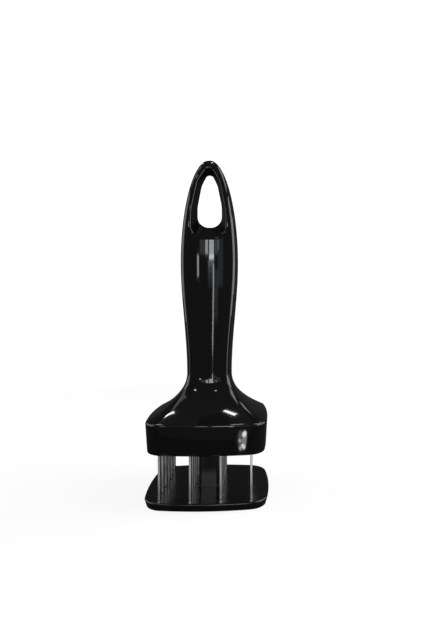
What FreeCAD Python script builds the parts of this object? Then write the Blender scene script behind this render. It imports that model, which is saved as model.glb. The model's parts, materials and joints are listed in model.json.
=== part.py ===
import FreeCAD, Part
import math
import os

# Blade meat tenderizer: a push-down hand tool with a sprung guard plate.
# Origin: middle of the guard's underside. +Z up along the handle, -Y is the front.
# All sizes are in millimetres.

# Guard plate and the square post that stands on it
guard_width = 68.6
guard_depth = 61.0
guard_thickness = 4.2
guard_corner_r = 11.0
guard_crown = 5.0
guard_edge_draft = 1.2
guard_top_edge_r = 0.8
post_side = 11.0
post_corner_r = 1.5
post_foot_r = 1.2

# Head: the collar round the blade holder, and the bell above it
head_gap = 24.4
collar_width = 66.8
collar_depth = 62.4
collar_height = 16.0
collar_draft = 0.9
collar_corner_r = 10.0
collar_crown = 5.5
shell_wall = 2.2

# Bell: from the collar's outline to the neck's along a parabola-like law
bell_height = 23.4
bell_power = 2.1
bell_steps = 9

# Handle: it swells from the neck to the grip and closes in a bullet-shaped tip
neck_half_width = 12.75
neck_half_depth = 11.3
grip_half_width = 16.4
grip_half_depth = 13.1
grip_height = 63.0
handle_length = 122.0
handle_corner_r = 2.6
handle_crown = 2.0
tip_width_powers = (1.95, 0.49)
tip_depth_powers = (2.3, 0.45)
tip_flat = 0.12
tip_corner_share = 0.3
grip_steps = 9
tip_shares = [0.13, 0.27, 0.41, 0.55, 0.68, 0.79, 0.88, 0.94, 0.98, 1.0]
solid_tip_rows = 5
cavity_top_drop = 52.5

# Hanging hole, a teardrop that widens from its throat towards both faces.
# Corners of half an outline: half width, drop below the tip, rounding radius.
hole_throat = [(6.95, 38.6, 6.3), (6.95, 26.5, 24.0), (4.5, 14.4, 10.0), (0.0, 5.2, 2.6)]
hole_rim = [(10.3, 45.8, 5.0), (10.3, 32.5, 30.0), (7.4, 13.0, 12.0), (0.0, 0.0, 3.0)]
hole_rim_depth = 12.6

# Blades
columns_per_side = 2
blade_rows = 6
column_margin = 5.4
row_margin = 2.8
blade_thickness = 1.2
blade_width = 3.8
blade_head_overhang = 0.5
blade_head_height = 2.0
blade_point_length = 4.0
blade_edge_bevel = 2.4
blade_edge_share = 0.3
blade_tip_height = 0.7

# Blade holder, its clamp plate and the sleeve that guides the post
holder_recess = 1.5
holder_thickness = 5.0
holder_clearance = 0.2
sleeve_wall = 1.45
sleeve_height = 8.0
sleeve_to_slot = 0.15
clamp_thickness = 3.0
clamp_margin = 2.5
lip_reach = 0.9
ledge_reach = 1.5
ledge_thickness = 1.5
clamp_screw_r = 1.45
clamp_screw_head_r = 2.8
clamp_screw_head_height = 2.0
clamp_screw_bite = 4.0
clamp_screw_row = 2

# Clearances of the sliding and assembled fits
blade_slot_clearance = 0.1
guard_slot_clearance = 0.35
post_clearance = 0.25
assembly_clearance = 0.1
pilot_clearance = 0.02
stop_gap = 0.1

# Return spring with the washer and screw that hold the guard up
washer_r = 7.6
washer_thickness = 1.2
retainer_shank_r = 1.95
retainer_head_r = 3.9
retainer_head_height = 2.6
retainer_length = 14.0
screw_crown_share = 0.4
screw_point_share = 0.4
recess_arm_share = 0.55
recess_width_share = 0.12
spring_mean_r = 6.0
spring_wire_d = 1.3
spring_turns = 12
spring_end_gap = 0.05
spring_seat_height = 27.0
seat_thickness = 2.5
spigot_r = 4.4
spigot_length = 6.0

# Stiffening ribs and locating pegs of the two shells
rib_count = 2
rib_thickness = 2.0
peg_places = [(8.5, 46.0), (9.6, 21.0)]
peg_r = 1.3
peg_length = 4.0
peg_clearance = 0.1

# Heights that follow from the sizes above
collar_bottom_z = guard_thickness + head_gap
shoulder_z = collar_bottom_z + collar_height
bell_top_z = shoulder_z + bell_height
tip_z = bell_top_z + handle_length
holder_bottom_z = collar_bottom_z + holder_recess
holder_top_z = holder_bottom_z + holder_thickness
clamp_top_z = holder_top_z + clamp_thickness
sleeve_top_z = holder_top_z + sleeve_height
post_top_z = sleeve_top_z + stop_gap
washer_top_z = post_top_z + washer_thickness
seat_z = bell_top_z + spring_seat_height
cavity_top_z = tip_z - cavity_top_drop

# Places of the blades: the inner columns stand clear of the sleeve, the outer ones of the holder's edge
holder_inset = shell_wall + collar_draft * (shoulder_z - holder_bottom_z) / collar_height + holder_clearance
sleeve_half = post_side / 2 + post_clearance + sleeve_wall
inner_column_x = sleeve_half + sleeve_to_slot + blade_slot_clearance + blade_thickness / 2
outer_column_x = collar_width / 2 - holder_inset - column_margin - blade_thickness / 2
column_step = (outer_column_x - inner_column_x) / (columns_per_side - 1)
right_columns = [inner_column_x + i * column_step for i in range(columns_per_side)]
column_x = [-x for x in reversed(right_columns)] + right_columns
blade_head_half = blade_width / 2 + blade_head_overhang
row_pitch = 2 * (collar_depth / 2 - holder_inset - row_margin - blade_head_half) / (blade_rows - 1)
row_y = [(r - (blade_rows - 1) / 2) * row_pitch for r in range(blade_rows)]


def unit(x, y):
    length = math.hypot(x, y)
    return x / length, y / length


def outline(half_w, half_d, corner_r, crown, z):
    """Closed outline of eight tangent arcs: four bowed sides and four round corners."""
    face_r = crown * half_w
    side_r = crown * half_d
    face_y = half_d - face_r
    side_x = half_w - side_r
    to_face = face_r - corner_r
    to_side = side_r - corner_r
    apart = math.hypot(side_x, face_y)
    along = (to_face ** 2 - to_side ** 2 + apart ** 2) / (2 * apart)
    across = math.sqrt(to_face ** 2 - along ** 2)
    ux, uy = unit(side_x, -face_y)
    choices = [(along * ux - s * across * uy, face_y + along * uy + s * across * ux) for s in (1, -1)]
    cx, cy = max(choices)
    fx, fy = unit(cx, cy - face_y)
    sx, sy = unit(cx - side_x, cy)
    mx, my = unit(fx + sx, fy + sy)
    on_face = (cx + corner_r * fx, cy + corner_r * fy)
    on_side = (cx + corner_r * sx, cy + corner_r * sy)
    middle = (cx + corner_r * mx, cy + corner_r * my)

    def at(point, sign_x, sign_y):
        return FreeCAD.Vector(sign_x * point[0], sign_y * point[1], z)

    edges = []
    for sign_x, sign_y in ((1, 1), (-1, 1), (-1, -1), (1, -1)):
        if sign_x * sign_y > 0:
            start, end = on_side, on_face
            side_mid = (half_w, 0)
            before = at(on_side, sign_x, -sign_y)
        else:
            start, end = on_face, on_side
            side_mid = (0, half_d)
            before = at(on_face, -sign_x, sign_y)
        edges.append(Part.Arc(before, at(side_mid, sign_x, sign_y), at(start, sign_x, sign_y)).toShape())
        edges.append(Part.Arc(at(start, sign_x, sign_y), at(middle, sign_x, sign_y),
                              at(end, sign_x, sign_y)).toShape())
    return Part.Wire(edges)


def prism(wire, height):
    return Part.Face(wire).extrude(FreeCAD.Vector(0, 0, height))


def box(half_x, half_y, z_low, z_high, x=0.0, y=0.0):
    corner = FreeCAD.Vector(x - half_x, y - half_y, z_low)
    return Part.makeBox(2 * half_x, 2 * half_y, z_high - z_low, corner)


def post_prism(half_side, corner_r, z_low, z_high):
    block = box(half_side, half_side, z_low, z_high)
    uprights = [e for e in block.Edges if abs(e.tangentAt(e.FirstParameter).z) > 0.9]
    return block.makeFillet(corner_r, uprights)


def cylinder(radius, z_low, z_high, x=0.0, y=0.0):
    return Part.makeCylinder(radius, z_high - z_low, FreeCAD.Vector(x, y, z_low))


def rounded_loop(half_corners, y):
    """Symmetric closed loop in the plane y, with each corner rounded by its own radius."""
    right = [(x, tip_z - drop, r) for x, drop, r in half_corners]
    left = [(-x, z, r) for x, z, r in reversed(right[:-1])]
    corners = right + left
    count = len(corners)
    stops = []
    for i in range(count):
        x, z, r = corners[i]
        ax, az = unit(corners[i - 1][0] - x, corners[i - 1][1] - z)
        bx, bz = unit(corners[(i + 1) % count][0] - x, corners[(i + 1) % count][1] - z)
        half_angle = math.acos(ax * bx + az * bz) / 2
        back = r / math.tan(half_angle)
        mx, mz = unit(ax + bx, az + bz)
        reach = r / math.sin(half_angle) - r
        stops.append((
            FreeCAD.Vector(x + back * ax, y, z + back * az),
            FreeCAD.Vector(x + reach * mx, y, z + reach * mz),
            FreeCAD.Vector(x + back * bx, y, z + back * bz),
        ))
    edges = []
    for i in range(count):
        start, middle, end = stops[i]
        edges.append(Part.Arc(start, middle, end).toShape())
        edges.append(Part.LineSegment(end, stops[(i + 1) % count][0]).toShape())
    return Part.Wire(edges)


def handle_half_sizes(height):
    """Half width and half depth of the handle at a height above the bell."""
    if height <= grip_height:
        share = height / grip_height
        ease = share * share * (3 - 2 * share)
        half_w = neck_half_width + (grip_half_width - neck_half_width) * ease
        half_d = neck_half_depth + (grip_half_depth - neck_half_depth) * ease
        return half_w, half_d
    share = (height - grip_height) / (handle_length + tip_flat - grip_height)
    half_w = grip_half_width * (1 - share ** tip_width_powers[0]) ** tip_width_powers[1]
    half_d = grip_half_depth * (1 - share ** tip_depth_powers[0]) ** tip_depth_powers[1]
    return half_w, half_d


def profile():
    """Stations from the shoulder to the tip: height, half width, half depth, corner, crown."""
    shoulder = (collar_width / 2, collar_depth / 2, collar_corner_r, collar_crown)
    neck = (neck_half_width, neck_half_depth, handle_corner_r, handle_crown)
    rows = []
    for i in range(bell_steps):
        height = i * bell_height / bell_steps
        share = (1 - i / bell_steps) ** bell_power
        sizes = [n + (s - n) * share for s, n in zip(shoulder, neck)]
        rows.append((shoulder_z + height, *sizes))
    heights = [i * grip_height / grip_steps for i in range(grip_steps + 1)]
    heights += [grip_height + share * (handle_length - grip_height) for share in tip_shares]
    for h in heights:
        half_w, half_d = handle_half_sizes(h)
        corner = min(handle_corner_r, tip_corner_share * min(half_w, half_d))
        rows.append((bell_top_z + h, half_w, half_d, corner, handle_crown))
    return rows


def inward(rows, offset):
    """The same stations moved inwards, square to the side profile, by the offset."""
    moved = []
    for i, (z, w, d, r, k) in enumerate(rows):
        low = rows[max(i - 1, 0)]
        high = rows[min(i + 1, len(rows) - 1)]
        slope = (high[1] - low[1]) / (high[0] - low[0])
        length = math.hypot(1, slope)
        step = offset / length
        down = offset * -slope / length
        inner_r = max(r - offset, 0.5 * r)
        moved.append((z - down, w - step, d - step, inner_r, k))
    return moved


def loft(rows):
    return Part.makeLoft([outline(w, d, r, k, z) for z, w, d, r, k in rows], True, False)


def collar_block(offset, z_low, z_high):
    """Tapered collar volume, moved inwards by the offset."""
    def wire(z):
        draft = collar_draft * (shoulder_z - z) / collar_height
        inset = offset + draft
        return outline(collar_width / 2 - inset, collar_depth / 2 - inset,
                       collar_corner_r - offset, collar_crown, z)
    return Part.makeLoft([wire(z_low), wire(z_high)], True, True)


def holder_outline(extra, z):
    """Outline of what fits inside the collar at the holder's height."""
    inset = holder_inset + extra
    corner = collar_corner_r - shell_wall - holder_clearance
    return outline(collar_width / 2 - inset, collar_depth / 2 - inset, corner, collar_crown, z)


def hanging_hole():
    throat = rounded_loop(hole_throat, 0.0)
    front = Part.makeLoft([throat, rounded_loop(hole_rim, -hole_rim_depth)], True, True)
    rear = Part.makeLoft([throat, rounded_loop(hole_rim, hole_rim_depth)], True, True)
    beyond = 2 * hole_rim_depth
    face = Part.Face(rounded_loop(hole_rim, -hole_rim_depth))
    front_end = face.extrude(FreeCAD.Vector(0, -beyond, 0))
    face = Part.Face(rounded_loop(hole_rim, hole_rim_depth))
    rear_end = face.extrude(FreeCAD.Vector(0, beyond, 0))
    return [front, rear, front_end, rear_end]


def shell_volume():
    """Hollow handle, bell and collar as one body, before it is split into two shells."""
    rows = profile()
    outer = loft(rows).fuse(collar_block(0.0, collar_bottom_z, shoulder_z))
    inner_rows = inward(rows, shell_wall)[:-solid_tip_rows]
    inner = loft(inner_rows)
    mouth = collar_block(shell_wall, collar_bottom_z - shell_wall, inner_rows[0][0])
    inner = inner.fuse(mouth)
    inner = inner.cut(box(collar_width, collar_depth, cavity_top_z, tip_z))
    keep = []
    seat = box(collar_width, collar_depth, seat_z, seat_z + seat_thickness)
    keep.append(inner.common(seat))
    rib_step = (cavity_top_z - seat_z - seat_thickness) / (rib_count + 1)
    for i in range(rib_count):
        low = seat_z + seat_thickness + (i + 1) * rib_step - rib_thickness / 2
        keep.append(inner.common(box(collar_width, collar_depth, low, low + rib_thickness)))
    lip_room = collar_block(shell_wall + lip_reach, collar_bottom_z - 1, holder_bottom_z)
    lip_zone = box(collar_width, collar_depth, collar_bottom_z, holder_bottom_z)
    keep.append(inner.common(lip_zone).cut(lip_room))
    ledge_low = holder_top_z + assembly_clearance
    ledge_high = ledge_low + ledge_thickness
    ledge_room = collar_block(shell_wall + ledge_reach, ledge_low - 1, ledge_high + 1)
    ledge_zone = box(collar_width, collar_depth, ledge_low, ledge_high)
    keep.append(inner.common(ledge_zone).cut(ledge_room))
    keep.append(cylinder(spigot_r, seat_z - spigot_length, seat_z))
    hollow = outer.cut(inner)
    body = hollow.fuse(keep)
    return body.cut(hanging_hole())


def y_peg(x, z, radius, reach):
    return Part.makeCylinder(radius, reach + 1.0, FreeCAD.Vector(x, -1.0, z), FreeCAD.Vector(0, 1, 0))


def make_shells():
    body = shell_volume()
    reach = 2 * collar_depth
    front_half = Part.makeBox(4 * reach, reach, 2 * tip_z, FreeCAD.Vector(-2 * reach, -reach, -1))
    rear_half = Part.makeBox(4 * reach, reach, 2 * tip_z, FreeCAD.Vector(-2 * reach, 0, -1))
    front = body.common(front_half)
    rear = body.common(rear_half)
    pegs = []
    sockets = []
    for x, drop in peg_places:
        z = tip_z - drop
        for side in (-1, 1):
            pegs.append(y_peg(side * x, z, peg_r, peg_length))
            sockets.append(y_peg(side * x, z, peg_r + peg_clearance, peg_length + 2 * peg_clearance))
    return front.fuse(pegs).removeSplitter(), rear.cut(sockets)


def make_guard():
    half_w = guard_width / 2
    half_d = guard_depth / 2
    low = outline(half_w - guard_edge_draft, half_d - guard_edge_draft,
                  guard_corner_r - guard_edge_draft, guard_crown, 0.0)
    high = outline(half_w, half_d, guard_corner_r, guard_crown, guard_thickness)
    plate = Part.makeLoft([low, high], True, True)
    rim = [e for e in plate.Edges if e.BoundBox.ZMin > guard_thickness - 0.01]
    plate = plate.makeFillet(guard_top_edge_r, rim)
    post = post_prism(post_side / 2, post_corner_r, 0.5 * guard_thickness, post_top_z)
    foot = post_prism(post_side / 2 + post_foot_r, post_corner_r + post_foot_r,
                      0.5 * guard_thickness, guard_thickness + post_foot_r)
    plate = plate.fuse([post, foot])
    half_x = blade_thickness / 2 + guard_slot_clearance
    half_y = blade_width / 2 + guard_slot_clearance
    slots = [box(half_x, half_y, -1.0, guard_thickness + 2.0, x, y) for x in column_x for y in row_y]
    pilot = cylinder(retainer_shank_r + pilot_clearance, post_top_z - retainer_length, post_top_z + 1)
    return plate.cut(slots + [pilot]).removeSplitter()


def screw_places():
    y = clamp_screw_row * row_pitch
    x = (column_x[-1] + column_x[-2]) / 2
    return [(sx * x, sy * y) for sx in (-1, 1) for sy in (-1, 1)]


def make_holder():
    plate = prism(holder_outline(0.0, holder_bottom_z), holder_thickness)
    bore_half = post_side / 2 + post_clearance
    sleeve = post_prism(sleeve_half, post_corner_r + sleeve_wall, holder_bottom_z, sleeve_top_z)
    plate = plate.fuse(sleeve)
    half_x = blade_thickness / 2 + blade_slot_clearance
    half_y = blade_width / 2 + blade_slot_clearance
    head_y = half_y + blade_head_overhang
    head_low = holder_top_z - blade_head_height
    cuts = []
    for x in column_x:
        for y in row_y:
            cuts.append(box(half_x, half_y, holder_bottom_z - 1, holder_top_z + 1, x, y))
            cuts.append(box(half_x, head_y, head_low, holder_top_z + 1, x, y))
    cuts.append(post_prism(bore_half, post_corner_r, holder_bottom_z - 1, sleeve_top_z + 1))
    for x, y in screw_places():
        low = holder_top_z - clamp_screw_bite
        cuts.append(cylinder(clamp_screw_r + pilot_clearance, low, holder_top_z + 1, x, y))
    return plate.cut(cuts)


def make_clamp_plate():
    plate = prism(holder_outline(clamp_margin, holder_top_z), clamp_thickness)
    room = sleeve_half + assembly_clearance
    cuts = [post_prism(room, post_corner_r + sleeve_wall, holder_top_z - 1, clamp_top_z + 1)]
    for x, y in screw_places():
        cuts.append(cylinder(clamp_screw_r + assembly_clearance, holder_top_z - 1, clamp_top_z + 1, x, y))
    return plate.cut(cuts)


def pan_screw(shank_r, head_r, head_height, length, x, y, z):
    """Pan-head screw with a cross recess: its head stands on z and its shank hangs below."""
    head = cylinder(head_r, z, z + head_height, x, y)
    crown = [e for e in head.Edges if e.BoundBox.ZMin > z + head_height - 0.01]
    head = head.makeFillet(screw_crown_share * head_height, crown)
    shank = cylinder(shank_r, z - length, z, x, y)
    point = [e for e in shank.Edges if e.BoundBox.ZMax < z - length + 0.01]
    shank = shank.makeChamfer(screw_point_share * shank_r, point)
    recess_low = z + (1 - screw_crown_share) * head_height / 2
    arm = recess_arm_share * head_r
    width = recess_width_share * head_r
    recess = [box(arm, width, recess_low, z + 2 * head_height, x, y),
              box(width, arm, recess_low, z + 2 * head_height, x, y)]
    return head.fuse(shank).cut(recess).removeSplitter()


def make_clamp_screws():
    length = clamp_thickness + clamp_screw_bite - assembly_clearance
    screws = [pan_screw(clamp_screw_r, clamp_screw_head_r, clamp_screw_head_height, length,
                        x, y, clamp_top_z) for x, y in screw_places()]
    return Part.makeCompound(screws)


def make_washer():
    disc = cylinder(washer_r, post_top_z, washer_top_z)
    return disc.cut(cylinder(retainer_shank_r + assembly_clearance, post_top_z - 1, washer_top_z + 1))


def make_retaining_screw():
    length = retainer_length + washer_thickness - assembly_clearance
    return pan_screw(retainer_shank_r, retainer_head_r, retainer_head_height, length,
                     0.0, 0.0, washer_top_z)


def make_blade(x, y):
    """Flat strip with a wide head at its top and a bevelled point at its foot."""
    half = blade_width / 2
    head = half + blade_head_overhang
    head_low = holder_top_z - blade_head_height
    side = [
        (0.0, blade_tip_height),
        (half, blade_tip_height + blade_point_length),
        (half, head_low),
        (head, head_low),
        (head, holder_top_z),
    ]
    loop = side + [(-v, z) for v, z in reversed(side[1:])]
    loop.append(loop[0])
    left = x - blade_thickness / 2
    wire = Part.makePolygon([FreeCAD.Vector(left, y + v, z) for v, z in loop])
    strip = Part.Face(wire).extrude(FreeCAD.Vector(blade_thickness, 0, 0))
    low = blade_tip_height - 0.01
    bevel = Part.makePolygon([
        FreeCAD.Vector(left + blade_edge_share * blade_thickness, y - head, low),
        FreeCAD.Vector(left + blade_thickness + 1.0, y - head, low),
        FreeCAD.Vector(left + blade_thickness + 1.0, y - head, low + blade_edge_bevel * 2),
        FreeCAD.Vector(left + blade_thickness, y - head, low + blade_edge_bevel),
        FreeCAD.Vector(left + blade_edge_share * blade_thickness, y - head, low),
    ])
    return strip.cut(Part.Face(bevel).extrude(FreeCAD.Vector(0, 2 * head, 0)))


def make_spring():
    """Compression spring: one unbroken wire, coiled by quarter-turn biarcs."""
    wire_r = spring_wire_d / 2
    low = washer_top_z + wire_r + spring_end_gap
    high = seat_z - wire_r - spring_end_gap
    quarters = 4 * spring_turns
    rise = (high - low) / quarters

    def point(i):
        angle = i * math.pi / 2
        x = spring_mean_r * math.cos(angle)
        y = spring_mean_r * math.sin(angle)
        return FreeCAD.Vector(x, y, low + i * rise)

    def tangent(i):
        angle = i * math.pi / 2
        x = -spring_mean_r * math.sin(angle)
        y = spring_mean_r * math.cos(angle)
        return FreeCAD.Vector(x, y, rise * 2 / math.pi).normalize()

    edges = []
    for i in range(quarters):
        edges += biarc(point(i), tangent(i), point(i + 1), tangent(i + 1))
    path = Part.Wire(edges)
    circle = Part.Circle(point(0), tangent(0), wire_r)
    section = Part.Wire([circle.toShape()])
    print("spring: least gap between turns", round(4 * rise - spring_wire_d, 3))
    return path.makePipeShell([section], True, False)


def biarc(start, start_dir, end, end_dir):
    """Two tangent arcs that join two points with given directions."""
    chord = end - start
    total = start_dir + end_dir
    a = 2 * (1 - start_dir.dot(end_dir))
    b = 2 * chord.dot(total)
    c = -chord.dot(chord)
    reach = (-b + math.sqrt(b * b - 4 * a * c)) / (2 * a)
    first = start + start_dir * reach
    last = end - end_dir * reach
    middle = (first + last) * 0.5
    joint_dir = (last - first).normalize()

    def arc(p, p_dir, q, q_dir):
        corner = p + p_dir * reach
        inward_dir = ((p - corner).normalize() + (q - corner).normalize()).normalize()
        half_angle = p_dir.getAngle(q_dir) / 2
        radius = reach / math.tan(half_angle)
        sag = radius / math.cos(half_angle) - radius
        return Part.Arc(p, corner + inward_dir * sag, q).toShape()

    return [arc(start, start_dir, middle, joint_dir), arc(middle, joint_dir, end, end_dir)]


def build():
    parts = {}
    parts["front_shell"], parts["rear_shell"] = make_shells()
    parts["guard"] = make_guard()
    parts["blade_holder"] = make_holder()
    parts["blade_clamp_plate"] = make_clamp_plate()
    parts["clamp_screws"] = make_clamp_screws()
    parts["retaining_washer"] = make_washer()
    parts["retaining_screw"] = make_retaining_screw()
    parts["return_spring"] = make_spring()
    for row, y in enumerate(row_y, 1):
        for column, x in enumerate(column_x, 1):
            parts[f"blade_row{row}_col{column}"] = make_blade(x, y)
    return parts


os.makedirs("parts", exist_ok=True)
for node, shape in build().items():
    shape.exportStep(f"parts/{node}.step")
    solids = len(shape.Solids)
    print(node, "solids", solids, "valid", shape.isValid(), "volume", round(shape.Volume, 1))
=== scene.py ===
# %% [markdown]
# # A blade tenderizer, dressed over its fixed frame
#
# The tool is a push-down kitchen hand tool: a long black handle with a hanging hole, a bell and collar
# that hold rows of steel blades, and a slotted guard plate that stands on the table until it is pressed.
# The frame already holds every piece at its real size and place. This lesson gives those pieces their
# looks: it rebuilds the two glossy shells as smooth surfaces, winds the hidden spring, mixes the plastics
# and steels, and lights the whole as a plain studio picture.

# %% Load the frame
import json
import math

import bmesh
import bpy
import numpy as np
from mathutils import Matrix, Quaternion, Vector


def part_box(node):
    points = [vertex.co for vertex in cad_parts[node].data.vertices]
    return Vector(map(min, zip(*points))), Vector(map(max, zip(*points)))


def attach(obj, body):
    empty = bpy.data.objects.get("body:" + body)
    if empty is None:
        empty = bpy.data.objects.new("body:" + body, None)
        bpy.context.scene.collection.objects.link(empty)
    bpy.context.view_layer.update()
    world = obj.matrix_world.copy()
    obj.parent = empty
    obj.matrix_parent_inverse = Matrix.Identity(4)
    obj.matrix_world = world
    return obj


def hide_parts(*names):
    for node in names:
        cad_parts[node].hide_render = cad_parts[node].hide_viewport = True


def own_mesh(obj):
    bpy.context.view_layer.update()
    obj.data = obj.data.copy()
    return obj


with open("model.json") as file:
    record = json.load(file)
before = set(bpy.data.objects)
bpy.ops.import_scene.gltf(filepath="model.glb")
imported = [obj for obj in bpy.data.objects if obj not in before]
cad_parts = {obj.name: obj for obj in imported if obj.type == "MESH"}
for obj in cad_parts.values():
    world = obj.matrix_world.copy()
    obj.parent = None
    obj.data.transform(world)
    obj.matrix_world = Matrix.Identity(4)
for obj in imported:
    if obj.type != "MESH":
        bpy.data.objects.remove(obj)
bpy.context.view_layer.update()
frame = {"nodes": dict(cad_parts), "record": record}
print("nodes:", len(frame["nodes"]))

# %% [markdown]
# ## Sizes that the shells share with the frame
#
# Blender works in metres and the frame is in metres too, so a size read from a node's box can be used as
# it is. The handle follows a few short laws: the bell falls from the collar to the neck as a power curve,
# the grip swells with a smooth step, and the tip closes like a bullet. Writing the laws down once keeps
# every surface below on the same shape, whichever grid it is sampled with.

# %% Read sizes from the frame and name the rest
MM = 0.001


def node_box(node):
    """Lowest and highest corner of a frame node as two arrays, in metres."""
    low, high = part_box(node)
    return np.array(low), np.array(high)


shell_low, shell_high = node_box("front_shell")
collar_half_width = shell_high[0]
collar_half_depth = node_box("rear_shell")[1][1]
collar_bottom = shell_low[2]
tip_top = shell_high[2]
holder_bottom = node_box("blade_holder")[0][2]

collar_height = 16.0 * MM
collar_draft = 0.9 * MM
collar_corner = 10.0 * MM
collar_crown = 5.5
shoulder = collar_bottom + collar_height

bell_height = 23.4 * MM
bell_power = 2.1
bell_top = shoulder + bell_height

neck_half_width = 12.75 * MM
neck_half_depth = 11.3 * MM
grip_half_width = 16.4 * MM
grip_half_depth = 13.1 * MM
grip_top = bell_top + 63.0 * MM
handle_corner = 2.6 * MM
handle_crown = 2.0
tip_width_powers = (1.95, 0.49)
tip_depth_powers = (2.3, 0.45)
tip_corner_share = 0.3
least_half_size = 0.001 * MM
print("shoulder, bell top, grip and tip in mm:",
      [round(1000 * z, 1) for z in (shoulder, bell_top, grip_top, tip_top)])


# %% The section of the shell at any height
def section(z):
    """Half width, half depth, corner radius and crown at heights z.

    Bell: neck + (collar - neck) * (1 - height share) ** bell power.
    Grip: neck + (grip - neck) * smooth step of the height share.
    Tip: grip * (1 - share ** first power) ** second power, with one pair of powers across and one deep.
    """
    z = np.asarray(z, float)
    fall = (1 - np.clip((z - shoulder) / bell_height, 0, 1)) ** bell_power
    rise = np.clip((z - bell_top) / (grip_top - bell_top), 0, 1)
    rise = rise * rise * (3 - 2 * rise)
    close = np.clip((z - grip_top) / (tip_top - grip_top), 0, 1)
    half_width = neck_half_width + (grip_half_width - neck_half_width) * rise
    half_depth = neck_half_depth + (grip_half_depth - neck_half_depth) * rise
    first, second = tip_width_powers
    half_width = np.maximum(half_width * (1 - close ** first) ** second, least_half_size)
    first, second = tip_depth_powers
    half_depth = np.maximum(half_depth * (1 - close ** first) ** second, 1.1 * least_half_size)
    smaller = np.minimum(half_width, half_depth)
    corner = np.minimum(handle_corner, tip_corner_share * smaller)
    half_width = half_width + (collar_half_width - neck_half_width) * fall
    half_depth = half_depth + (collar_half_depth - neck_half_depth) * fall
    corner = corner + (collar_corner - handle_corner) * fall
    crown = handle_crown + (collar_crown - handle_crown) * fall
    return half_width, half_depth, corner, crown


for name, height in (("shoulder", shoulder), ("neck", bell_top), ("grip", grip_top)):
    half_sizes = [round(1000 * float(size), 2) for size in section(height)[:2]]
    print(name, "half width and depth in mm:", half_sizes)

# %% [markdown]
# ## One outline, eight arcs
#
# Cut the handle anywhere and the edge is the same kind of closed curve: a gently bowed front, a bowed
# side and a tight round corner between them, all meeting without a kink. A superellipse could come close,
# but its corners change with its size, while real moulded handles keep a steady corner radius. So the
# outline is built from true arcs. A single number q runs over half of it, from the left seam at -1, over
# the front at 0, to the right seam at 1, and fixed shares of q belong to each arc, so grid lines follow
# the corner along the whole handle and reflections stay clean.

# %% Arcs of the outline
face_share = 0.5
corner_share = 0.68


def arcs(half_width, half_depth, corner, crown):
    """Radii, centres and joint angles of the face, corner and side arcs of one outline.

    The corner's centre lies at (face radius - corner) from the face's centre and at
    (side radius - corner) from the side's centre, where those two circles cross.
    """
    face_r = crown * half_width
    side_r = crown * half_depth
    face_y = half_depth - face_r
    side_x = half_width - side_r
    to_face = face_r - corner
    to_side = side_r - corner
    apart = np.hypot(side_x, face_y)
    along = (to_face ** 2 - to_side ** 2 + apart ** 2) / (2 * apart)
    across = np.sqrt(np.maximum(to_face ** 2 - along ** 2, 0))
    ux = side_x / apart
    uy = -face_y / apart
    first = along * ux + across * uy
    second = along * ux - across * uy
    sign = np.where(first > second, 1.0, -1.0)
    cx = along * ux + sign * across * uy
    cy = face_y + along * uy - sign * across * ux
    face_angle = np.arctan2(cx, cy - face_y)
    side_angle = np.arctan2(cx - side_x, cy)
    return face_r, side_r, face_y, side_x, cx, cy, face_angle, side_angle


def outline_point(q, half_width, half_depth, corner, crown):
    """x, y of the front half outline: the normal turns evenly with q inside each arc."""
    face_r, side_r, face_y, side_x, cx, cy, face_angle, side_angle = arcs(
        half_width, half_depth, corner, crown)
    t = np.abs(q)
    on_face = face_angle * t / face_share
    on_corner = face_angle + (side_angle - face_angle) * (t - face_share) / (corner_share - face_share)
    on_side = side_angle + (math.pi / 2 - side_angle) * (t - corner_share) / (1 - corner_share)
    x = np.where(t < face_share, face_r * np.sin(on_face),
                 np.where(t < corner_share, cx + corner * np.sin(on_corner),
                          side_x + side_r * np.sin(on_side)))
    y = np.where(t < face_share, face_y + face_r * np.cos(on_face),
                 np.where(t < corner_share, cy + corner * np.cos(on_corner),
                          side_r * np.cos(on_side)))
    return np.sign(q) * x, -y


def outline_q(x, half_width, half_depth, corner, crown):
    """The q of the front point that has this x: the inverse of outline_point."""
    face_r, side_r, face_y, side_x, cx, cy, face_angle, side_angle = arcs(
        half_width, half_depth, corner, crown)
    t = np.abs(x)
    face_end = face_r * np.sin(face_angle)
    corner_end = side_x + side_r * np.sin(side_angle)
    on_face = np.arcsin(np.clip(t / face_r, -1, 1))
    on_corner = np.arcsin(np.clip((t - cx) / corner, -1, 1))
    on_side = np.arcsin(np.clip((t - side_x) / side_r, -1, 1))
    q = np.where(t < face_end, face_share * on_face / face_angle,
                 np.where(t < corner_end,
                          face_share + (corner_share - face_share)
                          * (on_corner - face_angle) / (side_angle - face_angle),
                          corner_share + (1 - corner_share)
                          * (on_side - side_angle) / (math.pi / 2 - side_angle)))
    return np.sign(x) * q


def front_depth(x, z):
    """How far the front surface stands from the seam plane at x, z: negative outside the handle."""
    sizes = section(z)
    q = outline_q(x, *sizes)
    inside = -outline_point(q, *sizes)[1]
    return np.where(np.abs(x) < sizes[0], inside, sizes[0] - np.abs(x))


def skin(q, z):
    """Points of the front skin in the chart (q, z)."""
    x, y = outline_point(q, *section(z))
    return np.stack([x, y, z + 0 * x], -1)


test_q = np.linspace(-0.99, 0.99, 41)
test_x = skin(test_q, grip_top + 0 * test_q)[..., 0]
worst = np.abs(outline_q(test_x, *section(grip_top + 0 * test_q)) - test_q).max()
print("the chart and its inverse differ by at most", float(worst))

# %% [markdown]
# ## From grids to one clean mesh
#
# A surface made of several grids has doubled points where the grids meet. Merging them makes one skin with
# smooth shading across the joints. A grid can come out facing either way, so the normals are worked out
# again after the merge. Edges that turn by more than a set angle stay sharp.

# %% Grid helpers
sharp_angle = math.radians(40)


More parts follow.
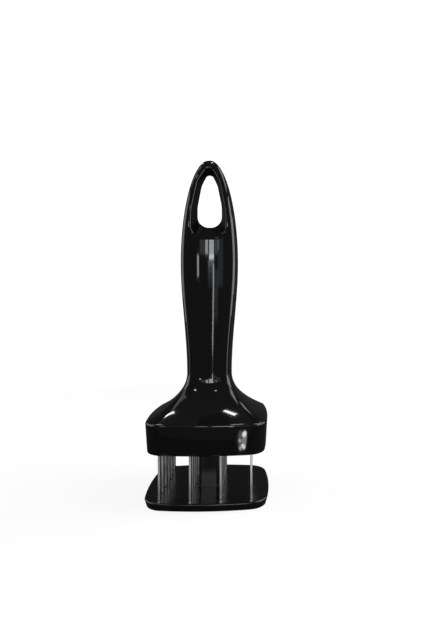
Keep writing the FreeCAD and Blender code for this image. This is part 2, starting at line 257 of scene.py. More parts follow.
def grid_quads(rows, columns, first):
    """Corner numbers of all quads of a grid whose points are numbered row by row from first."""
    corner = first + np.arange(rows - 1)[:, None] * columns + np.arange(columns - 1)[None, :]
    quads = np.stack([corner, corner + 1, corner + columns + 1, corner + columns], -1)
    return quads.reshape(-1, 4)


def mesh_piece(name, grids, loops=(), merge=2e-6):
    """One mesh object from point grids shaped (rows, columns, 3) and flat loops shaped (points, 3).

    Points closer than merge, in metres, become one.
    """
    points = []
    faces = []
    first = 0
    for grid in grids:
        rows, columns = grid.shape[:2]
        points.append(grid.reshape(-1, 3))
        faces += grid_quads(rows, columns, first).tolist()
        first += rows * columns
    for loop in loops:
        points.append(loop)
        faces.append(list(range(first, first + len(loop))))
        first += len(loop)
    mesh = bpy.data.meshes.new(name)
    mesh.from_pydata(np.concatenate(points).tolist(), [], faces)
    tidy_mesh(mesh, merge)
    piece = bpy.data.objects.new(name, mesh)
    bpy.context.scene.collection.objects.link(piece)
    return piece


def flow(mesh):
    """How much the normals point away from the middle: the sum of area * normal . (centre - middle)."""
    count = len(mesh.polygons)
    area = np.empty(count)
    normal = np.empty(count * 3)
    centre = np.empty(count * 3)
    mesh.polygons.foreach_get("area", area)
    mesh.polygons.foreach_get("normal", normal)
    mesh.polygons.foreach_get("center", centre)
    centre = centre.reshape(-1, 3)
    middle = (area[:, None] * centre).sum(0) / area.sum()
    return float((area * (normal.reshape(-1, 3) * (centre - middle)).sum(1)).sum())


def tidy_mesh(mesh, merge):
    """Merges doubled points, drops faces that collapsed, turns normals outwards and shades smooth."""
    work = bmesh.new()
    work.from_mesh(mesh)
    bmesh.ops.remove_doubles(work, verts=work.verts, dist=merge)
    bmesh.ops.dissolve_degenerate(work, edges=work.edges, dist=merge)
    bmesh.ops.recalc_face_normals(work, faces=work.faces)
    work.to_mesh(mesh)
    work.free()
    if flow(mesh) < 0:
        mesh.flip_normals()
    mesh.polygons.foreach_set("use_smooth", np.ones(len(mesh.polygons), bool))
    mesh.set_sharp_from_angle(angle=sharp_angle)
    mesh.update()


def bend(start, corner, end, steps):
    """Rounded edge between two surfaces: the quadratic Bezier of three point rows, u from 0 to 1."""
    u = np.linspace(0, 1, steps)[:, None, None]
    return (1 - u) ** 2 * start + 2 * u * (1 - u) * corner + u ** 2 * end


print("helpers ready: grids, merging, rounded edges")

# %% [markdown]
# ## The hanging hole
#
# The hole is a teardrop that is narrow at the seam and widens towards both faces, so a hook finds it
# easily. Each of its two loops is a polygon with rounded corners. A straight wall joins them, and the real
# rim is where that wall leaves the skin. Cutting it with a boolean would leave long thin faces and a
# broken reflection, so the rim is solved for instead: along each wall line, halving an interval finds the
# depth where the wall and the skin agree. A short Bezier then rolls the edge over, as a mould would.

# %% Teardrop loops
# half width, drop below the tip and corner radius of each corner, in mm
hole_throat = [(6.95, 38.6, 6.3), (6.95, 26.5, 24.0), (4.5, 14.4, 10.0), (0.0, 5.2, 2.6)]
hole_rim = [(10.3, 45.8, 5.0), (10.3, 32.5, 30.0), (7.4, 13.0, 12.0), (0.0, 0.0, 3.0)]
hole_rim_depth = 12.6 * MM
line_samples = [26, 12, 12, 10]
arc_samples = [44, 18, 18, 22]
corner_index = line_samples[0] + arc_samples[0] // 2


def half_loop(corners):
    """Right half of a rounded loop, bottom middle to top middle: straight runs and corner arcs."""
    pts = np.array([(x, -drop) for x, drop, r in corners]) * MM
    radii = np.array([r for x, drop, r in corners]) * MM
    mirrored = pts * [-1, 1]
    before = np.vstack([mirrored[:1], pts[:-1]])
    after = np.vstack([pts[1:], mirrored[-2:-1]])
    pieces = []
    last = np.array([0.0, pts[0, 1]])
    for i, (p, r) in enumerate(zip(pts, radii)):
        back = (before[i] - p) / np.linalg.norm(before[i] - p)
        on = (after[i] - p) / np.linalg.norm(after[i] - p)
        half = math.acos(np.clip(back @ on, -1, 1)) / 2
        middle = (back + on) / np.linalg.norm(back + on)
        centre = p + middle * r / math.sin(half)
        start = p + back * r / math.tan(half)
        share = np.arange(line_samples[i])[:, None] / line_samples[i]
        pieces.append(last + (start - last) * share)
        turn = math.pi - 2 * half
        stop = turn / 2 if i == len(pts) - 1 else turn
        count = arc_samples[i]
        angle = stop * np.arange(count + (i == len(pts) - 1)) / count
        spoke = start - centre
        cos, sin = np.cos(angle)[:, None], np.sin(angle)[:, None]
        pieces.append(centre + cos * spoke + sin * np.array([-spoke[1], spoke[0]]))
        last = p + on * r / math.tan(half)
    return np.vstack(pieces) + [0, tip_top]


def whole_loop(half):
    """The right half and its mirror image as one closed loop, counted once round."""
    left = half[-2:0:-1] * [-1, 1]
    return np.vstack([half, left])


throat = whole_loop(half_loop(hole_throat))
mouth = whole_loop(half_loop(hole_rim))
print("points round the hole:", len(throat), "width of the throat in mm:",
      round(2000 * float(throat[:, 0].max()), 2))

# %% Wall of the hole and its rim
ridge_round = 0.7 * MM
rim_round = 1.7 * MM
halvings = 40
search_share = 1.15
wall_row_count = 26
rim_row_count = 9


def wall(depth):
    """x, z of the wall at a depth from the seam: a straight slope whose ridge is rounded like a hyperbola."""
    share = np.hypot(depth, ridge_round) - ridge_round
    share = share / (math.hypot(hole_rim_depth, ridge_round) - ridge_round)
    return throat + share[..., None] * (mouth - throat)


def rim_depth():
    """Depth at which each wall line meets the skin, by halving."""
    low = np.zeros(len(throat))
    high = np.full(len(throat), search_share * hole_rim_depth)
    for _ in range(halvings):
        middle = (low + high) / 2
        at = wall(middle)
        inside = front_depth(at[:, 0], at[:, 1]) > middle
        low = np.where(inside, middle, low)
        high = np.where(inside, high, middle)
    return (low + high) / 2


def on_wall(depth):
    """Points of the wall at a depth in front of the seam plane."""
    at = wall(depth)
    return np.stack([at[..., 0], -depth + 0 * at[..., 0], at[..., 1]], -1)


rim = rim_depth()
rim_xz = wall(rim)
around = np.roll(rim_xz, -1, 0) - np.roll(rim_xz, 1, 0)
around = around / np.linalg.norm(around, axis=1, keepdims=True)
outward = np.stack([around[:, 1], -around[:, 0]], -1)
if outward[0, 1] > 0:
    outward = -outward
lap_xz = rim_xz + rim_round * outward
lap_q = outline_q(lap_xz[:, 0], *section(lap_xz[:, 1]))

wall_grid = on_wall(np.linspace(0, 1, wall_row_count)[:, None] * (rim - rim_round)[None, :])
lap_grid = bend(on_wall(rim - rim_round)[None], on_wall(rim)[None], skin(lap_q, lap_xz[:, 1])[None],
                rim_row_count)
print("rim depth in mm, from top to bottom:",
      round(1000 * float(rim.min()), 2), round(1000 * float(rim.max()), 2))

# %% [markdown]
# ## Skin round the hole, handle, bell and collar
#
# Round the hole, each grid line starts on the rolled rim and runs outwards in the chart (q, height) to the
# seam, to the tip or to a level line below the hole. The height is eased so that rows crowd together near
# the tip, where the outline shrinks fast. Everything below that line is a plain grid that uses the same q
# values, so the two meet point for point. The collar goes on with the same columns: over the shoulder's
# rounded edge, down the drafted wall, under the bottom edge and up inside the lip.

# %% Ring of skin round the hole
split = tip_top - 52.5 * MM
pole_reach = 0.004 * MM
ring_row_count = 56
ring_crowding = 1.6
half_count = len(half_loop(hole_throat))
top_index = half_count - arc_samples[-1] - 1
ring_rows = 1 - (1 - np.linspace(0, 1, ring_row_count)) ** ring_crowding


def height_share(z):
    """Eased height: 0 at the split line and 1 at the tip, with crowded rows near the tip."""
    return 1 - np.sqrt(np.clip((tip_top - z) / (tip_top - split), 0, 1))


def eased_height(share):
    """The height at an eased share: the inverse of height_share."""
    return tip_top - (tip_top - split) * (1 - share) ** 2


right = np.arange(half_count)
lap_share = height_share(lap_xz[:half_count, 1])
target_q = np.ones(half_count)
target_q[:corner_index + 1] = lap_xz[:corner_index + 1, 0] / lap_xz[corner_index, 0]
target_q[top_index:] = lap_xz[top_index:half_count, 0] / lap_xz[top_index, 0]
climb = (lap_share - lap_share[corner_index]) / (lap_share[top_index] - lap_share[corner_index])
target_share = np.clip(np.where(right < corner_index, 0, np.where(right > top_index, 1, climb)), 0, 1)
target_q[-1] = 0.0
whole_q = np.concatenate([target_q, -target_q[-2:0:-1]])
whole_share = np.concatenate([target_share, target_share[-2:0:-1]])
whole_lap_share = height_share(lap_xz[:, 1])

v = ring_rows[:, None]
ring_q = lap_q + (whole_q - lap_q) * v
ring_z = eased_height(whole_lap_share + (whole_share - whole_lap_share) * v)
ring_grid = skin(ring_q, ring_z)
pole = tip_top - ring_grid[..., 2] < pole_reach
ring_grid[pole] = [0.0, 0.0, tip_top]
print("ring grid:", ring_grid.shape[:2], "tip reached at mm:",
      round(1000 * float(ring_grid[..., 2].max()), 2))

# %% Handle, bell and collar below the ring
columns = target_q[:corner_index + 1]
columns = np.concatenate([-columns[:0:-1], columns])[None, :]
shoulder_round = 0.9 * MM
shoulder_reach = 0.45 * MM
foot_round = 0.6 * MM
lip_inset = 3.1 * MM
lip_round = 0.3 * MM
bell_row_count = 64
grip_row_count = 72
collar_row_count = 12
shoulder_row_count = 8
foot_row_count = 7
under_row_count = 4
lip_row_count = 4
inside_row_count = 3


def collar_skin(q, z, inset=0.0):
    """Points of the drafted collar, moved inwards by the inset."""
    draft = collar_draft * (shoulder - z) / collar_height
    x, y = outline_point(q, collar_half_width - draft - inset, collar_half_depth - draft - inset,
                         collar_corner - inset, collar_crown)
    return np.stack([x, y, z + 0 * x], -1)


def levels(low, high, count):
    """Even heights as a column, so that they spread over a row of q values."""
    return np.linspace(low, high, count)[:, None]


bell_rows = levels(shoulder + shoulder_reach, bell_top, bell_row_count)
grip_rows = levels(bell_top, split, grip_row_count)
body_grid = skin(columns, np.vstack([bell_rows, grip_rows[1:]]))
shoulder_grid = bend(collar_skin(columns, shoulder - shoulder_round), collar_skin(columns, shoulder),
                     skin(columns, shoulder + shoulder_reach), shoulder_row_count)
wall_low = collar_bottom + foot_round
collar_grid = collar_skin(columns, levels(wall_low, shoulder - shoulder_round, collar_row_count))
foot_grid = bend(collar_skin(columns, wall_low), collar_skin(columns, collar_bottom),
                 collar_skin(columns, collar_bottom, foot_round), foot_row_count)
under_insets = levels(foot_round, lip_inset - lip_round, under_row_count)
under_grid = collar_skin(columns, collar_bottom + 0 * under_insets, under_insets)
lip_grid = bend(collar_skin(columns, collar_bottom, lip_inset - lip_round),
                collar_skin(columns, collar_bottom, lip_inset),
                collar_skin(columns, collar_bottom + lip_round, lip_inset), lip_row_count)
inside_grid = collar_skin(columns, levels(collar_bottom + lip_round, holder_bottom, inside_row_count),
                          lip_inset)
half_grids = [wall_grid, lap_grid, ring_grid, body_grid, shoulder_grid, collar_grid, foot_grid,
              under_grid, lip_grid, inside_grid]
print("quads of one half shell:", sum((g.shape[0] - 1) * (g.shape[1] - 1) for g in half_grids))

# %% [markdown]
# ## Two halves and the seam between them
#
# The handle is moulded as a front and a rear shell, welded along the sides, and a fine groove shows where
# they meet. The skin stops a hair's breadth before the seam plane, and a narrow strip turns inwards from
# there to the plane. Solidify could give the wall its thickness, but near the throat and the tip two skins
# lie closer than twice the wall, and it would push through the seam. So the inside is worked out as well:
# solid round the hole, as thick mouldings are, hollow below it, and flat where the halves touch. The rear
# shell is the front one mirrored, which turns its faces inside out, so its normals are worked out again.

# %% Groove along the seam
groove = 0.1 * MM
same_point = 1e-6 * MM
seam_ring = ring_grid[-1, corner_index:top_index + 1]
outer_path = [inside_grid[::-1], lip_grid[::-1], under_grid[::-1], foot_grid[::-1], collar_grid,
              shoulder_grid, body_grid]
seam_line = np.vstack([grid[:, -1] for grid in outer_path] + [seam_ring])
split_number = len(seam_line) - len(seam_ring)


def open_seam(grid):
    """Pulls the points that lie in the seam plane forward by the depth of the groove."""
    moved = grid.copy()
    moved[..., 1] = np.where(moved[..., 1] > -groove, -groove, moved[..., 1])
    return moved


def seam_strip(line):
    """Strip from a seam line to the seam plane, turned inwards at 45 degrees; doubled points stay doubled."""
    fresh = np.concatenate([[True], np.linalg.norm(np.diff(line, axis=0), axis=1) > same_point])
    number = np.cumsum(fresh) - 1
    single = line[fresh]
    along = np.gradient(single, axis=0)
    inward = np.stack([-along[:, 2], 0 * along[:, 0], along[:, 0]], -1)
    inward = inward / np.linalg.norm(inward, axis=1, keepdims=True)
    inward[-1] = [0.0, 0.0, -1.0]
    end = (single + groove * inward)[number] * [1, 0, 1]
    return np.stack([line * [1, 0, 1] - [0, groove, 0], np.maximum(end, 0)])


right_strip = seam_strip(seam_line)
right_edge = right_strip[1]
mirror_x = np.array([-1, 1, 1])
print("points along one seam:", len(seam_line), "groove in mm:", round(1000 * groove, 2))

# %% Inner wall, roof of the hollow and the faces that touch
wall_thickness = 2.2 * MM
bell_seat = 1.3 * MM
slope_step = 0.2 * MM
inner_row_count = 48
inner_collar_row_count = 4


def inner_skin(q, z):
    """The skin moved inwards: its level distance is the wall * sqrt(1 + slope ** 2)."""
    half_width, half_depth, corner, crown = section(z)
    slope = (section(z + slope_step)[0] - section(z - slope_step)[0]) / (2 * slope_step)
    inset = wall_thickness * np.hypot(1, slope)
    x, y = outline_point(q, half_width - inset, half_depth - inset,
                         np.maximum(corner - wall_thickness, corner / 2), crown)
    return np.stack([x, y, z + 0 * x], -1)


inner_grid = np.vstack([
    collar_skin(columns, levels(holder_bottom, shoulder - bell_seat, inner_collar_row_count),
                wall_thickness),
    inner_skin(columns, levels(shoulder + shoulder_reach, split, inner_row_count))])
inner_grid[:, [0, -1], 1] = 0
step_grid = np.stack([open_seam(inside_grid[-1]), collar_skin(columns, holder_bottom, lip_inset - groove)[0],
                      inner_grid[0]])
step_grid[1, [0, -1]] = right_edge[0] * mirror_x, right_edge[0]
roof_edge = inner_grid[-1] * [1, 0, 1]
roof_edge[[0, -1]] = right_edge[split_number] * mirror_x, right_edge[split_number]
roof_grid = np.stack([inner_grid[-1], roof_edge])

tip_points = np.repeat(right_edge[-1:], half_count - 1 - top_index, 0)
half_edge = np.vstack([roof_edge[corner_index:-1], right_edge[split_number:], tip_points])
whole_edge = whole_loop(half_edge[:, [0, 2]])
touching_grid = np.stack([np.insert(throat, 1, 0, 1), np.insert(whole_edge, 1, 0, 1)])
right_touch = np.vstack([right_edge[:split_number + 1], inner_grid[::-1, -1]])
print("hollow from mm:", round(1000 * float(holder_bottom), 1), "to", round(1000 * split, 1))

# %% The two shells
skin_grids = [np.concatenate([g, g[:, :1]], 1) for g in (lap_grid, ring_grid)] + half_grids[3:]
plain_grids = [np.concatenate([g, g[:, :1]], 1) for g in (wall_grid, touching_grid)]
plain_grids += [step_grid, inner_grid, roof_grid, right_strip, right_strip * mirror_x]
front_grids = [open_seam(g) for g in skin_grids] + plain_grids
front_loops = [right_touch, right_touch * mirror_x]
turned = np.array([1, -1, 1])
front_shell = mesh_piece("front_shell_skin", front_grids, front_loops)
rear_shell = mesh_piece("rear_shell_skin", [g * turned for g in front_grids],
                        [g * turned for g in front_loops])
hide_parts("front_shell")
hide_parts("rear_shell")
for piece in (front_shell, rear_shell):
    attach(piece, "handle")
    print(piece.name, "faces:", len(piece.data.polygons))

# %% [markdown]
# ## The return spring
#
# A compression spring hides in the handle and pushes the guard back down. It is one wire along a helix:
# each ring of the tube stands square to the wire's direction. The tube is worked out at rest.

# %% Spring wire along a helix
spring_low, spring_high = node_box("return_spring")
wire_radius = 0.65 * MM
coil_radius = spring_high[0] - wire_radius
coil_turns = 12
rings_per_turn = 40
ring_count = coil_turns * rings_per_turn
side_count = 12


def spring_tube():
    """Rings round a helix: centre + wire radius * (outward * cos + binormal * sin), closed by a cap point."""
    low = spring_low[2] + wire_radius
    high = spring_high[2] - wire_radius
    t = np.linspace(0, 1, ring_count)[:, None]
    turn = 2 * math.pi * coil_turns * t
    rise = (high - low) / (2 * math.pi * coil_turns)
    centre = np.hstack([coil_radius * np.cos(turn), coil_radius * np.sin(turn), low + (high - low) * t])
    outwards = np.hstack([np.cos(turn), np.sin(turn), 0 * turn])
    ahead = np.hstack([-coil_radius * np.sin(turn), coil_radius * np.cos(turn), rise + 0 * turn])
    ahead = ahead / np.linalg.norm(ahead, axis=1, keepdims=True)
    across = np.cross(ahead, outwards)
    angle = np.linspace(0, 2 * math.pi, side_count + 1)[None, :, None]
    spoke = np.cos(angle) * outwards[:, None] + np.sin(angle) * across[:, None]
    tube = centre[:, None] + wire_radius * spoke
    first = np.repeat(centre[:1, None], side_count + 1, 1)
    last = np.repeat(centre[-1:, None], side_count + 1, 1)
    return np.concatenate([first, tube, last])


spring = mesh_piece("return_spring_coil", [spring_tube()])
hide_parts("return_spring")
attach(spring, "handle")
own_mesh(spring)

# %% [markdown]
# ## Soft edges on the blades and the guard
#
# No real edge is perfectly sharp: a stamped blade is tumbled, and a mould leaves its corners a little
# round. Those tiny rounds are what catches the light as a fine bright line. The frame's own meshes keep
# their sharp edges, so each of these pieces is a copy of its node whose loose triangles are merged first.
# A Bevel modifier then rounds every edge that turns by more than a set angle. The copy drops the normals
# that came with the mesh, and a Weighted Normal modifier leans the new ones towards the larger faces, so
# flat faces keep their even shading right up to the rounds.

# %% Bevelled copies of frame nodes
bevel_angle = math.radians(28)
flat_angle = math.radians(0.05)
triangle_gap = 1e-6
blade_edge_round = 0.16 * MM
guard_edge_round = 0.25 * MM
edge_segments = 2


def softened(node, body, radius):
    """A merged copy of a node with rounded edges, which stands for the node."""
    mesh = frame["nodes"][node].data.copy()
    if mesh.has_custom_normals:
        mesh.attributes.remove(mesh.attributes["custom_normal"])
    work = bmesh.new()
    work.from_mesh(mesh)
    bmesh.ops.remove_doubles(work, verts=work.verts, dist=triangle_gap)
    bmesh.ops.dissolve_limit(work, angle_limit=flat_angle, verts=work.verts, edges=work.edges)
    work.to_mesh(mesh)
    work.free()
    mesh.polygons.foreach_set("use_smooth", np.ones(len(mesh.polygons), bool))
    piece = bpy.data.objects.new(f"{node}_soft", mesh)
    bpy.context.scene.collection.objects.link(piece)
    rounding = piece.modifiers.new("soft_edges", "BEVEL")
    rounding.width = radius
    rounding.segments = edge_segments
    rounding.limit_method = "ANGLE"
    rounding.angle_limit = bevel_angle
    shading = piece.modifiers.new("even_shading", "WEIGHTED_NORMAL")
    shading.keep_sharp = True
    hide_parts(node)
    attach(piece, body)
    return piece


blades = [softened(node, "handle", blade_edge_round)
          for node in sorted(frame["nodes"]) if node.startswith("blade_row")]
guard = softened("guard", "guard", guard_edge_round)
print("softened blades:", len(blades), "guard faces:", len(guard.data.polygons))

# %% [markdown]
# ## Shader maths as plain expressions
#
# A finish is a small calculation over the surface. Writing it with node calls hides the idea, so one class
# wraps a socket and lets +, -, * and / add the Math nodes. Everything that isn't maths comes from a single
# method that takes the node's type, its settings and its inputs. The plain room uses the same tools as the
# finishes, so they sit in a base class that only needs a node tree.

# %% A wire class and a finish builder
class Wire:
    """A node's output that can be used in an arithmetic expression."""

    def __init__(self, work, socket):
        self.work = work
        self.socket = socket

    def maths(self, operation, *values):
        return self.work.add("ShaderNodeMath", {"operation": operation}, dict(enumerate(values)))

    def __add__(self, other):
        return self.maths("ADD", self, other)

    __radd__ = __add__

    def __mul__(self, other):
        return self.maths("MULTIPLY", self, other)

    __rmul__ = __mul__

    def __sub__(self, other):
        return self.maths("SUBTRACT", self, other)

    def __rsub__(self, other):
        return self.maths("SUBTRACT", other, self)

    def __truediv__(self, other):
        return self.maths("DIVIDE", self, other)

    def clamp(self, low=0.0, high=1.0):
        return self.work.add("ShaderNodeClamp", {}, {"Value": self, "Min": low, "Max": high})


class NodeWork:
    """A node tree under construction."""

    def __init__(self, tree):
        self.tree = tree

    def add(self, kind, settings, inputs, output=0):
        """Adds a node: settings first, then its inputs by name or number, and returns one output."""
        node = self.tree.nodes.new(kind)
        for name, value in settings.items():
            setattr(node, name, value)
        for name, value in inputs.items():
            self.feed(node.inputs[name], value)
        return Wire(self, node.outputs[output])

    def feed(self, socket, value):
        """Links a wire to a socket, or sets the socket's own value."""
        if isinstance(value, Wire):
            self.tree.links.new(value.socket, socket)
        else:
            socket.default_value = value

    def mix(self, factor, dark, light):
        """A grey between two levels, by a factor from 0 to 1."""
        return self.add("ShaderNodeMix", {"data_type": "RGBA"}, {
            0: factor, 6: (dark, dark, dark, 1.0), 7: (light, light, light, 1.0)}, 2)

    def rays(self):
        """1 on camera rays, mirror rays and glass rays, as three outputs."""
        kinds = ("Camera", "Glossy", "Transmission")
        return [self.add("ShaderNodeLightPath", {}, {}, f"Is {kind} Ray") for kind in kinds]


class Finish(NodeWork):
    """One material under construction."""

    def __init__(self, name):
        self.material = bpy.data.materials.new(name)
        self.material.use_nodes = True
        super().__init__(self.material.node_tree)
        self.shader = self.tree.nodes["Principled BSDF"]
        self.place = self.add("ShaderNodeTexCoord", {}, {}, "Object")

    def surface(self, **values):
        """Sets or links the shader's own sockets: words are joined by underscores."""
        for name, value in values.items():
            self.feed(self.shader.inputs[name.replace("_", " ")], value)
        return self.material


print("finish builder ready")

# %% [markdown]
# ## Black moulded plastic
#
# Glossy black plastic has almost no colour of its own: what the eye sees is the room mirrored in it. So
# the colour is a near black, and the life is in the surface. A slow swell stands for the sink of a thick
# moulding, a finer ripple for the polished steel of the mould, and faint rub marks from packing and use
# make the shine a little uneven. All of it reads object coordinates, so it stays put from every side.

# %% Plastics
swell_scale = 60.0
ripple_scale = 900.0
rub_turn = (0.35, 0.2, 0.6)
rub_squeeze = (2600.0, 2600.0, 90.0)
rub_level, rub_contrast = 0.62, 6.0
cloud_scale = 140.0
cloud_level, cloud_contrast = 0.5, 4.0
rub_depth = 0.15


def plastic(name, colour, gloss, swell, ripple, rub):
    """Glossy moulding: roughness = gloss + rub marks, normal from a slow swell and a fine ripple."""
    finish = Finish(name)
    slow = finish.add("ShaderNodeTexNoise", {}, {"Vector": finish.place, "Scale": swell_scale, "Detail": 1.0})
    fine = finish.add("ShaderNodeTexNoise", {}, {
        "Vector": finish.place, "Scale": ripple_scale, "Detail": 2.0})
    stretched = finish.add("ShaderNodeMapping", {}, {
        "Vector": finish.place, "Rotation": rub_turn, "Scale": rub_squeeze})
    marks = finish.add("ShaderNodeTexNoise", {}, {"Vector": stretched, "Scale": 1.0, "Detail": 3.0})
    cloud = finish.add("ShaderNodeTexNoise", {}, {
        "Vector": finish.place, "Scale": cloud_scale, "Detail": 3.0})
    worn = ((marks - rub_level) * rub_contrast).clamp() * ((cloud - cloud_level) * cloud_contrast).clamp()
    height = slow * swell + fine * ripple - worn * rub_depth * ripple
    normal = finish.add("ShaderNodeBump", {}, {"Height": height, "Distance": 1.0, "Strength": 1.0})
    finish.surface(Base_Color=(*colour, 1.0), Roughness=gloss + worn * rub, IOR=1.5, Normal=normal)
    return finish.material


shell_plastic = plastic("shell_plastic", (0.005, 0.005, 0.0056), 0.06, 2.0e-5, 6.0e-7, 0.12)
guard_plastic = plastic("guard_plastic", (0.0055, 0.0055, 0.006), 0.2, 2.0e-5, 1.0e-6, 0.15)
holder_plastic = plastic("holder_plastic", (0.01, 0.01, 0.011), 0.34, 2.0e-5, 2.5e-6, 0.12)
print("plastics:", shell_plastic.name, guard_plastic.name, holder_plastic.name)

# %% [markdown]
# ## Ground and drawn steel
#
# The blades are strip with ground faces, stamped out so that their long edges are sheared: the faces
# mirror sharply, and the edges are paler and duller. Fine lines run along each blade: noise squeezed hard
# across the strip and stretched along it. The object's own normal tells an edge, which faces the front or
# the back, from a face. The spring wire was pulled through a die, so its marks are fine all round.

# %% Steels
stain_scale = 500.0
dull_share = 0.8
line_gloss = 0.08
stain_gloss = 0.04


def steel(name, colour, gloss, squeeze, line_height, edge_gloss=None):
    """Metal with lines: noise squeezed by a mapping drives a small change of tone, gloss and height.

    With an edge gloss, roughness goes from gloss to edge gloss where the normal turns to the front or back.
    """
    finish = Finish(name)
    squeezed = finish.add("ShaderNodeMapping", {}, {"Vector": finish.place, "Scale": squeeze})
    lines = finish.add("ShaderNodeTexNoise", {}, {"Vector": squeezed, "Scale": 1.0, "Detail": 4.0})
    stain = finish.add("ShaderNodeTexNoise", {}, {
        "Vector": finish.place, "Scale": stain_scale, "Detail": 2.0})
    dull = tuple(dull_share * c for c in colour)
    tone = finish.add("ShaderNodeMix", {"data_type": "RGBA"}, {
        0: lines, 6: (*dull, 1.0), 7: (*colour, 1.0)}, 2)
    normal = finish.add("ShaderNodeBump", {}, {"Height": lines * line_height, "Distance": 1.0})
    rough = lines * line_gloss + stain * stain_gloss + gloss
    if edge_gloss is not None:
        facing = finish.add("ShaderNodeTexCoord", {}, {}, "Normal")
        front = finish.add("ShaderNodeSeparateXYZ", {}, {"Vector": facing}, "Y")
        rough = rough + front * front * (edge_gloss - gloss)
    finish.surface(Base_Color=tone, Metallic=1.0, Roughness=rough, Normal=normal)
    return finish.material


blade_steel = steel("blade_steel", (0.80, 0.80, 0.78), 0.07, (3000.0, 3000.0, 60.0), 1.5e-6, 0.30)
screw_steel = steel("screw_steel", (0.6, 0.6, 0.58), 0.2, (400.0, 400.0, 400.0), 2.0e-6)
spring_steel = steel("spring_steel", (0.5, 0.5, 0.49), 0.22, (1500.0, 1500.0, 1500.0), 2.0e-6)
print("steels:", blade_steel.name, screw_steel.name, spring_steel.name)

# %% Put the finishes on
finishes = {"shell_plastic": shell_plastic, "guard_plastic": guard_plastic, "holder_plastic": holder_plastic,
            "blade_steel": blade_steel, "screw_steel": screw_steel, "spring_steel": spring_steel}


def dress(piece, material):
    """Gives the piece this material and no other."""
    piece.data.materials.clear()
    piece.data.materials.append(material)


for subpart in frame["record"]["subparts"]:
    dress(frame["nodes"][subpart["node"]], finishes[subpart["material_slot"]])
made = [(front_shell, "shell_plastic"), (rear_shell, "shell_plastic"), (spring, "spring_steel"),
        (guard, "guard_plastic")] + [(blade, "blade_steel") for blade in blades]
for piece, slot in made:
    dress(piece, finishes[slot])

# %% [markdown]
# ## Floor and backdrop
#
# One sheet makes the floor and, after a wide bend, the wall behind. To the camera it glows almost white, so
# the picture has a clean ground, the tool keeps its soft shadow and the lamps stay plain. The glow rises to
# full white away from the tool, so no view shows where the sheet ends. Black gloss needs dark surroundings,
# or it looks grey, so mirror and glass rays see only a small share of that glow, and to mirror rays the
# sheet itself is darker. It lies a tenth of a millimetre low, so its face and the guard's never coincide.

# %% A swept sheet for the stage
floor_level = -0.1 * MM
floor_front = -0.121
floor_back = 0.34
bend_radius = 0.25
wall_top = 1.2
stage_half_width = 2.2
floor_points = 12
bend_points = 24
wall_points = 6
width_points = 9
paper_tone = 0.20
paper_roughness = 0.9
paper_glow = 0.85
fade_start = 0.35
fade_end = 0.75
mirrored_tone = 0.03
mirrored_share = 0.02


def sweep():
    """Profile: a straight floor, a quarter circle of the bend radius, a straight wall; carried along X."""
    along = np.linspace(floor_front, floor_back, floor_points)
    flat = np.stack([along, 0 * along], -1)
    angle = np.linspace(0, math.pi / 2, bend_points)[1:]
    arc = np.stack([floor_back + bend_radius * np.sin(angle), bend_radius * (1 - np.cos(angle))], -1)
    high = np.linspace(bend_radius, wall_top, wall_points)[1:]
    wall_part = np.stack([floor_back + bend_radius + 0 * high, high], -1)
    profile = np.vstack([flat, arc, wall_part])
    x = np.linspace(-stage_half_width, stage_half_width, width_points)
    grid = np.empty((len(profile), len(x), 3))
    grid[..., 0] = x[None]
    grid[..., 1:] = profile[:, None] + [0.0, floor_level]
    return grid


backdrop = mesh_piece("backdrop", [sweep()])
paper = Finish("paper")
camera_ray, mirror_ray, glass_ray = paper.rays()
seen = (camera_ray + mirrored_share * (mirror_ray + glass_ray)).clamp()
away = paper.add("ShaderNodeVectorMath", {"operation": "LENGTH"}, {0: paper.place}, "Value")
level = paper_glow + (1.0 - paper_glow) * ((away - fade_start) / (fade_end - fade_start)).clamp()
paper.surface(Base_Color=paper.mix(mirror_ray, paper_tone, mirrored_tone), Roughness=paper_roughness,
              Specular_IOR_Level=0.0, Emission_Color=paper.mix(seen * level, 0.0, 1.0),
              Emission_Strength=1.0)
dress(backdrop, paper.material)
print("stage faces:", len(backdrop.data.polygons))

# %% [markdown]
# ## Lamps
#
# On a black gloss surface a lamp matters twice: it lights the scene, and its picture appears in the
# plastic. So each lamp is placed by what it draws. The reader can find a lamp's place by following a ray
# from the camera to a spot on the tool and off it again, like a ball off a wall: its azimuth and elevation
# are where the lamp has to be. Lamps near the camera's side draw the line down the handle and the window
# below the hole, wide ones to the sides pick out the rounded corners, and tubes overhead give the bell its
# streaks. Close to the tool, small round lamps make the soft patch on the collar, and a card in front of
# each column of blades brightens the sheared edges.

# %% Area lamps that face a point
def spot(x, y, z):
    """A place on the tool, given in millimetres."""
    return Vector((x, y, z)) * MM


grip = spot(2.0, -13.0, 137.0)
bell = spot(0.0, -22.0, 49.0)
collar = spot(19.5, -29.7, 36.0)
middle = spot(0.0, 0.0, 100.0)


def lamp(name, azimuth, elevation, distance, width, height, strength, target=middle, turn=0.0,
         colour=(1.0, 1.0, 1.0), shape="RECTANGLE"):
    """Lamp seen from the target at an azimuth right of the front and an elevation, in degrees.

    It can be turned about the line of sight. Its power is strength * pi * width * height.
    """
    a, e = math.radians(azimuth), math.radians(elevation)
    way = Vector((math.sin(a) * math.cos(e), -math.cos(a) * math.cos(e), math.sin(e)))
    data = bpy.data.lights.new(name, "AREA")
    data.shape = shape
    data.size = width
    data.size_y = height
    data.color = colour
    data.energy = strength * math.pi * width * height
    source = bpy.data.objects.new(name, data)
    source.location = target + way * distance
    facing = way.to_track_quat("Z", "Y") @ Quaternion((0.0, 0.0, 1.0), math.radians(turn))
    source.rotation_euler = facing.to_euler()
    bpy.context.scene.collection.objects.link(source)
    source.visible_camera = False
    return source


